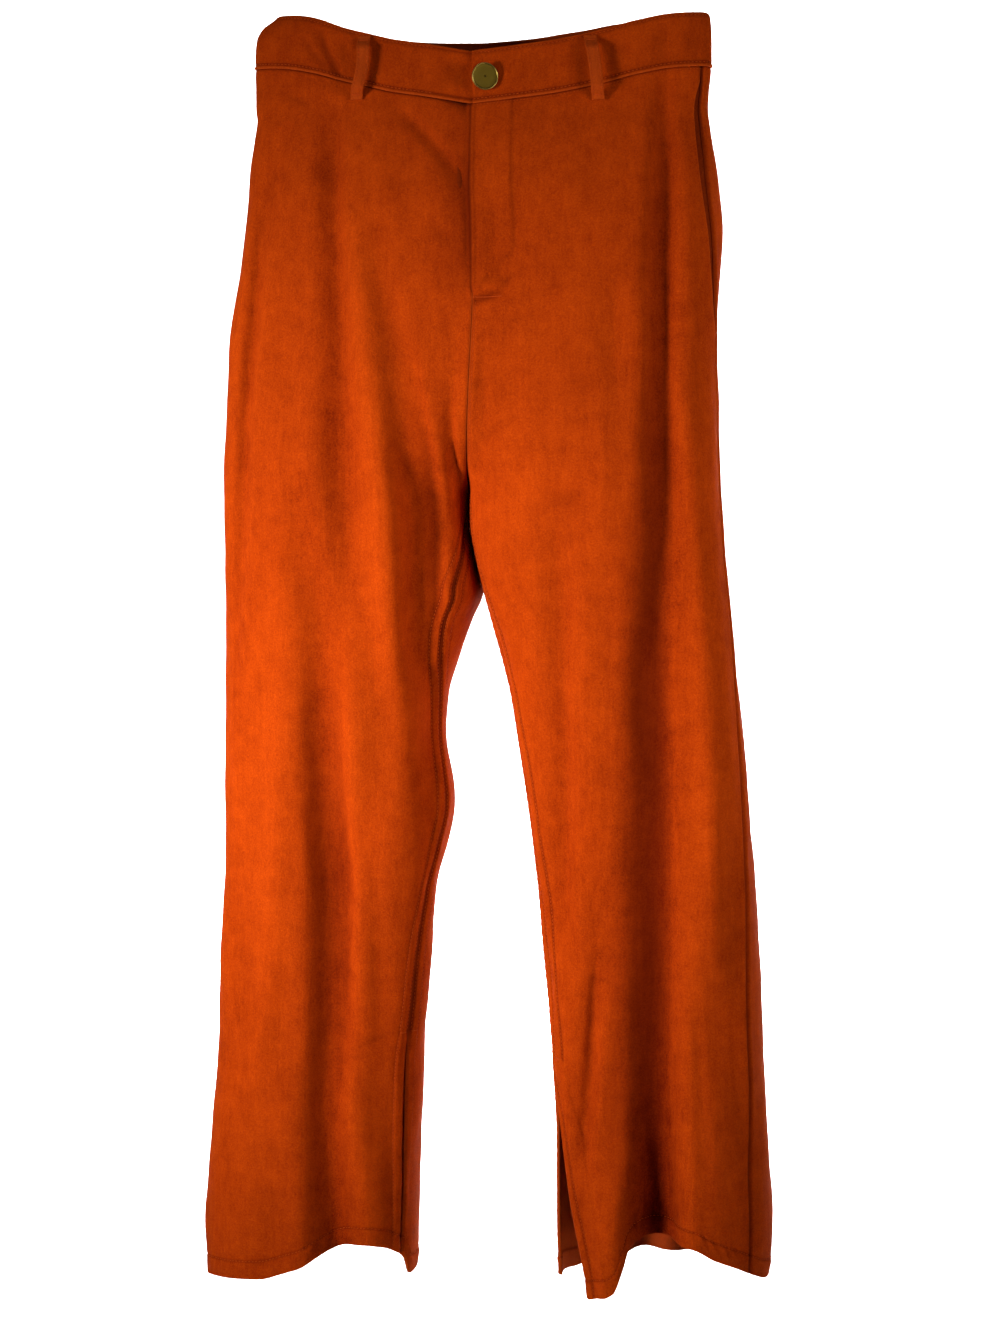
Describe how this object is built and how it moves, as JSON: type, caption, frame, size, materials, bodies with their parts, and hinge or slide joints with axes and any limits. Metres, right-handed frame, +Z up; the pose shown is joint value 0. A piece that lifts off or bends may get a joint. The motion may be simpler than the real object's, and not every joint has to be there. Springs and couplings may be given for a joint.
{
  "type": "suede trousers",
  "caption": "High-waisted straight-leg suede trousers with a buttoned waistband, zip fly, side-seam pockets and slits at the inner hems, hung open and hollow from the waist.",
  "frame": {"origin": "middle of the waist opening, level with the waistband's top edge at the centre front", "axes": "+Z up along the hanging garment, -Y the wearer's front, +X the wearer's left"},
  "size_m": [0.474, 0.1501, 1.0329],
  "materials": {
    "suede": "matt napped suede in burnt orange rust, brushed lighter and darker in soft patches",
    "tape": "woven zip tape, rust",
    "zip_metal": "dull antique brass",
    "button": "antique brass, greenish dull face and a brighter worn rim"
  },
  "bodies": {
    "root": {"front_left": "suede", "front_right": "suede", "back_left": "suede", "back_right": "suede", "waistband": "suede", "pocket_left": "suede", "pocket_right": "suede", "belt_loop_front_left": "suede", "belt_loop_front_right": "suede", "belt_loop_back_left": "suede", "belt_loop_back_right": "suede", "belt_loop_back": "suede", "fly_shield": "suede", "zip_tape": "tape", "zip_chain": "zip_metal", "zip_slider": "zip_metal", "button": "button"}
  },
  "joints": []
}
